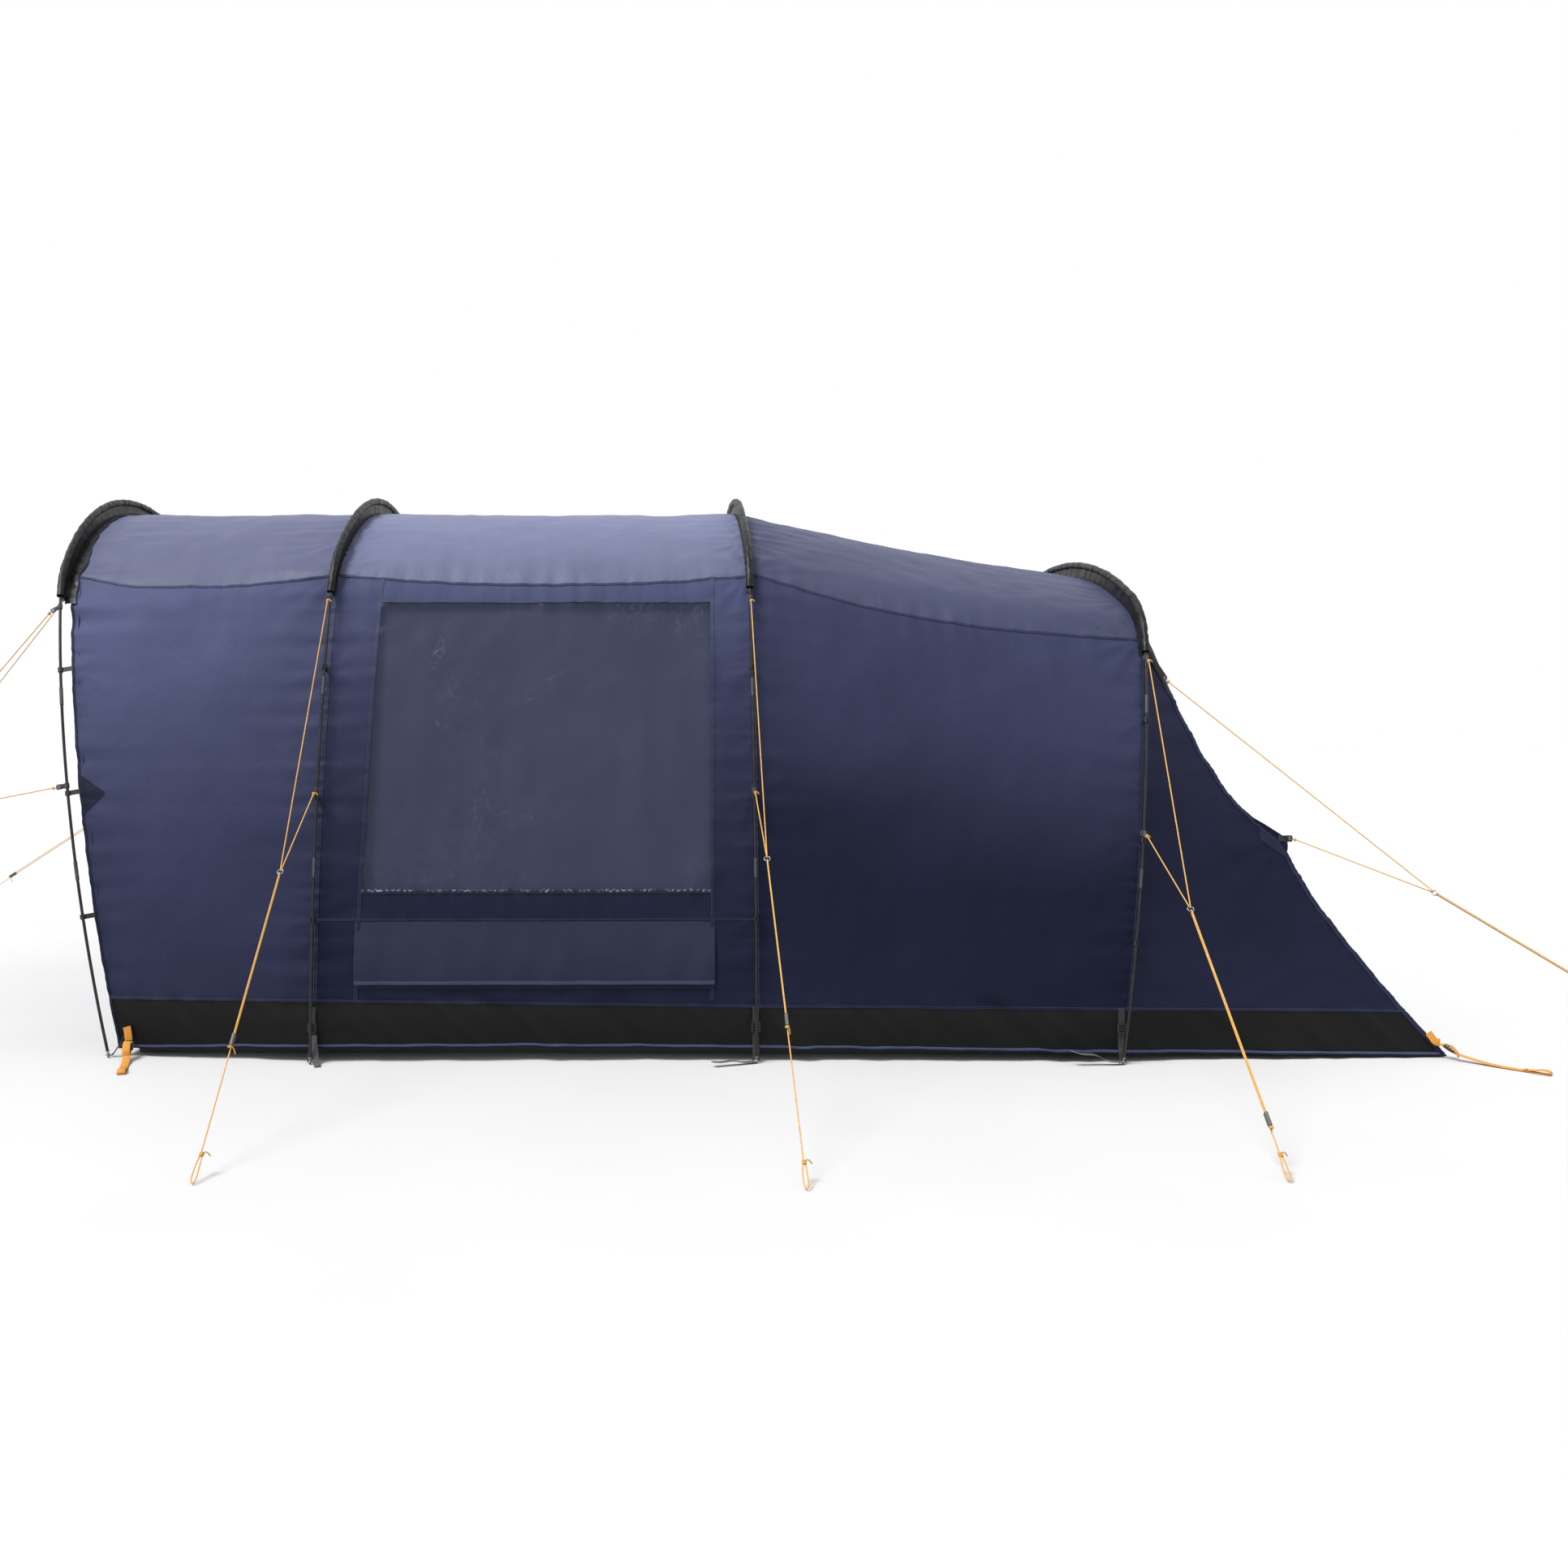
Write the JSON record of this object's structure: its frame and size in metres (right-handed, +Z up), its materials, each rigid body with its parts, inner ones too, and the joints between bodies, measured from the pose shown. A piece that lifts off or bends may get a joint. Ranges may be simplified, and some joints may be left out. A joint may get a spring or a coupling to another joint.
{
  "type": "tunnel tent",
  "caption": "Tunnel tent on external pole hoops, with an inner bedroom, a front door, side windows with curtains, vent flaps and doubled guy lines with sliding runners.",
  "frame": {"origin": "on the ground, at the centre of the bounding box of the tent without its guy lines", "axes": "+X from the door end to the tail, +Y to the occupant's right when facing the door from inside the tail, +Z up"},
  "size_m": [6.8034, 4.7242, 2.0027],
  "materials": {
    "roof_fabric": "matte woven polyester",
    "side_fabric": "matte woven polyester",
    "mud_fabric": "matte woven polyester",
    "flap_fabric": "matte woven polyester",
    "curtain_fabric": "matte woven polyester",
    "window_film": "clear, creased",
    "mesh_fabric": "fine mesh",
    "groundsheet_fabric": "coated, matte",
    "bedroom_fabric": "breathable polyester",
    "sleeve_fabric": "matte woven",
    "pole_fibreglass": "satin pultruded rod",
    "ferrule_steel": "satin",
    "ring_steel": "satin",
    "elastic_cord": "braided elastic",
    "clip_plastic": "moulded",
    "buckle_plastic": "moulded",
    "webbing_black": "woven webbing",
    "webbing_orange": "woven webbing",
    "tab_webbing": "woven webbing",
    "guy_rope": "braided rope",
    "runner_plastic": "moulded",
    "zip_metal": "satin"
  },
  "bodies": {
    "tent": {"bedroom_hangers": "elastic_cord", "bedroom_shell": "bedroom_fabric", "corner_straps": "webbing_orange", "foot_straps": "webbing_black", "front_wall": "side_fabric", "groundsheet": "groundsheet_fabric", "guy_line_crown": "guy_rope", "guy_lines_arch_1": "guy_rope", "guy_lines_arch_2": "guy_rope", "guy_lines_arch_3": "guy_rope", "guy_lines_arch_4": "guy_rope", "guy_lines_rear": "guy_rope", "guy_rings": "ring_steel", "guy_tabs": "tab_webbing", "ladder_lock_buckles": "buckle_plastic", "mud_wall": "mud_fabric", "pole_1": "pole_fibreglass", "pole_2": "pole_fibreglass", "pole_3": "pole_fibreglass", "pole_4": "pole_fibreglass", "pole_clips": "clip_plastic", "pole_end_pins_and_rings": "ring_steel", "pole_ferrules": "ferrule_steel", "pole_sleeves": "sleeve_fabric", "roof_panel_front": "roof_fabric", "roof_panel_middle": "roof_fabric", "roof_panel_rear": "roof_fabric", "shock_cords": "elastic_cord", "side_wall_front_left": "side_fabric", "side_wall_front_right": "side_fabric", "side_wall_rear_left": "side_fabric", "side_wall_rear_right": "side_fabric", "side_wall_window_left": "side_fabric", "side_wall_window_right": "side_fabric", "tail_panel": "roof_fabric", "tail_wall_left": "side_fabric", "tail_wall_right": "side_fabric", "vent_mesh": "mesh_fabric", "window_film": "window_film"},
    "door_flap_left": {"door_flap_left": "side_fabric"},
    "door_flap_right": {"door_flap_right": "side_fabric"},
    "curtain_left": {"curtain_left": "curtain_fabric"},
    "curtain_right": {"curtain_right": "curtain_fabric"},
    "vent_flap_left": {"vent_flap_left": "flap_fabric"},
    "vent_flap_right": {"vent_flap_right": "flap_fabric"},
    "bedroom_door": {"bedroom_door": "bedroom_fabric"},
    "door_zip_slider": {"door_zip_slider": "zip_metal"},
    "bedroom_zip_slider": {"bedroom_zip_slider": "zip_metal"},
    "guy_runner_arch_1_left": {"guy_runner_arch_1_left": "runner_plastic"},
    "guy_runner_arch_1_right": {"guy_runner_arch_1_right": "runner_plastic"},
    "guy_runner_arch_2_left": {"guy_runner_arch_2_left": "runner_plastic"},
    "guy_runner_arch_2_right": {"guy_runner_arch_2_right": "runner_plastic"},
    "guy_runner_arch_3_left": {"guy_runner_arch_3_left": "runner_plastic"},
    "guy_runner_arch_3_right": {"guy_runner_arch_3_right": "runner_plastic"},
    "guy_runner_arch_4_left": {"guy_runner_arch_4_left": "runner_plastic"},
    "guy_runner_arch_4_right": {"guy_runner_arch_4_right": "runner_plastic"},
    "guy_runner_rear_left": {"guy_runner_rear_left": "runner_plastic"},
    "guy_runner_rear_right": {"guy_runner_rear_right": "runner_plastic"},
    "guy_runner_crown": {"guy_runner_crown": "runner_plastic"}
  },
  "joints": [
    {"name": "door_flap_left_swing", "type": "hinge", "parent": "tent", "child": "door_flap_left", "pos_m": [-2.0463, -0.467, 0], "axis": [-0.1754, 0, 0.9845], "range_deg": [0, 110]},
    {"name": "door_flap_right_swing", "type": "hinge", "parent": "tent", "child": "door_flap_right", "pos_m": [-2.0463, 0.467, 0], "axis": [0.1754, 0, -0.9845], "range_deg": [0, 110]},
    {"name": "door_zip_slide", "type": "slide", "parent": "door_flap_left", "child": "door_zip_slider", "axis": [-0.1754, 0, 0.9845], "range_m": [0, 1.4]},
    {"name": "curtain_left_swing", "type": "hinge", "parent": "tent", "child": "curtain_left", "pos_m": [-0.6993, -0.9685, 1.5135], "axis": [1, 0, 0], "range_deg": [0, 32]},
    {"name": "curtain_right_swing", "type": "hinge", "parent": "tent", "child": "curtain_right", "pos_m": [-0.6993, 0.9685, 1.5135], "axis": [-1, 0, 0], "range_deg": [0, 32]},
    {"name": "vent_flap_left_swing", "type": "hinge", "parent": "tent", "child": "vent_flap_left", "pos_m": [-0.6993, -1.2525, 0.4485], "axis": [-1, 0, 0], "range_deg": [0, 60]},
    {"name": "vent_flap_right_swing", "type": "hinge", "parent": "tent", "child": "vent_flap_right", "pos_m": [-0.6993, 1.2525, 0.4485], "axis": [1, 0, 0], "range_deg": [0, 60]},
    {"name": "bedroom_door_swing", "type": "hinge", "parent": "tent", "child": "bedroom_door", "pos_m": [0.0757, -0.527, 0], "axis": [0, 0, 1], "range_deg": [0, 88]},
    {"name": "bedroom_zip_slide", "type": "slide", "parent": "bedroom_door", "child": "bedroom_zip_slider", "axis": [0, 0, 1], "range_m": [0, 1.1]},
    {"name": "runner_arch_1_left_slide", "type": "slide", "parent": "tent", "child": "guy_runner_arch_1_left", "axis": [0.8412, 0.1473, 0.5202], "range_m": [0, 0.842]},
    {"name": "runner_arch_1_right_slide", "type": "slide", "parent": "tent", "child": "guy_runner_arch_1_right", "axis": [0.8412, -0.1473, 0.5202], "range_m": [0, 0.842]},
    {"name": "runner_arch_2_left_slide", "type": "slide", "parent": "tent", "child": "guy_runner_arch_2_left", "axis": [0, 0.7592, 0.6509], "range_m": [0, 0.53]},
    {"name": "runner_arch_2_right_slide", "type": "slide", "parent": "tent", "child": "guy_runner_arch_2_right", "axis": [0, -0.6865, 0.7271], "range_m": [0, 0.468]},
    {"name": "runner_arch_3_left_slide", "type": "slide", "parent": "tent", "child": "guy_runner_arch_3_left", "axis": [-0.025, 0.7442, 0.6675], "range_m": [0, 0.501]},
    {"name": "runner_arch_3_right_slide", "type": "slide", "parent": "tent", "child": "guy_runner_arch_3_right", "axis": [-0.0176, -0.6479, 0.7615], "range_m": [0, 0.431]},
    {"name": "runner_arch_4_left_slide", "type": "slide", "parent": "tent", "child": "guy_runner_arch_4_left", "axis": [-0.0012, 0.7214, 0.6925], "range_m": [0, 0.59]},
    {"name": "runner_arch_4_right_slide", "type": "slide", "parent": "tent", "child": "guy_runner_arch_4_right", "axis": [-0.0014, -0.6303, 0.7764], "range_m": [0, 0.52]},
    {"name": "runner_rear_left_slide", "type": "slide", "parent": "tent", "child": "guy_runner_rear_left", "axis": [-0.5451, 0.6926, 0.4724], "range_m": [0, 0.669]},
    {"name": "runner_rear_right_slide", "type": "slide", "parent": "tent", "child": "guy_runner_rear_right", "axis": [-0.5947, -0.617, 0.5154], "range_m": [0, 0.608]},
    {"name": "runner_crown_slide", "type": "slide", "parent": "tent", "child": "guy_runner_crown", "axis": [0.616, 0, 0.7878], "range_m": [0, 0.576]}
  ]
}
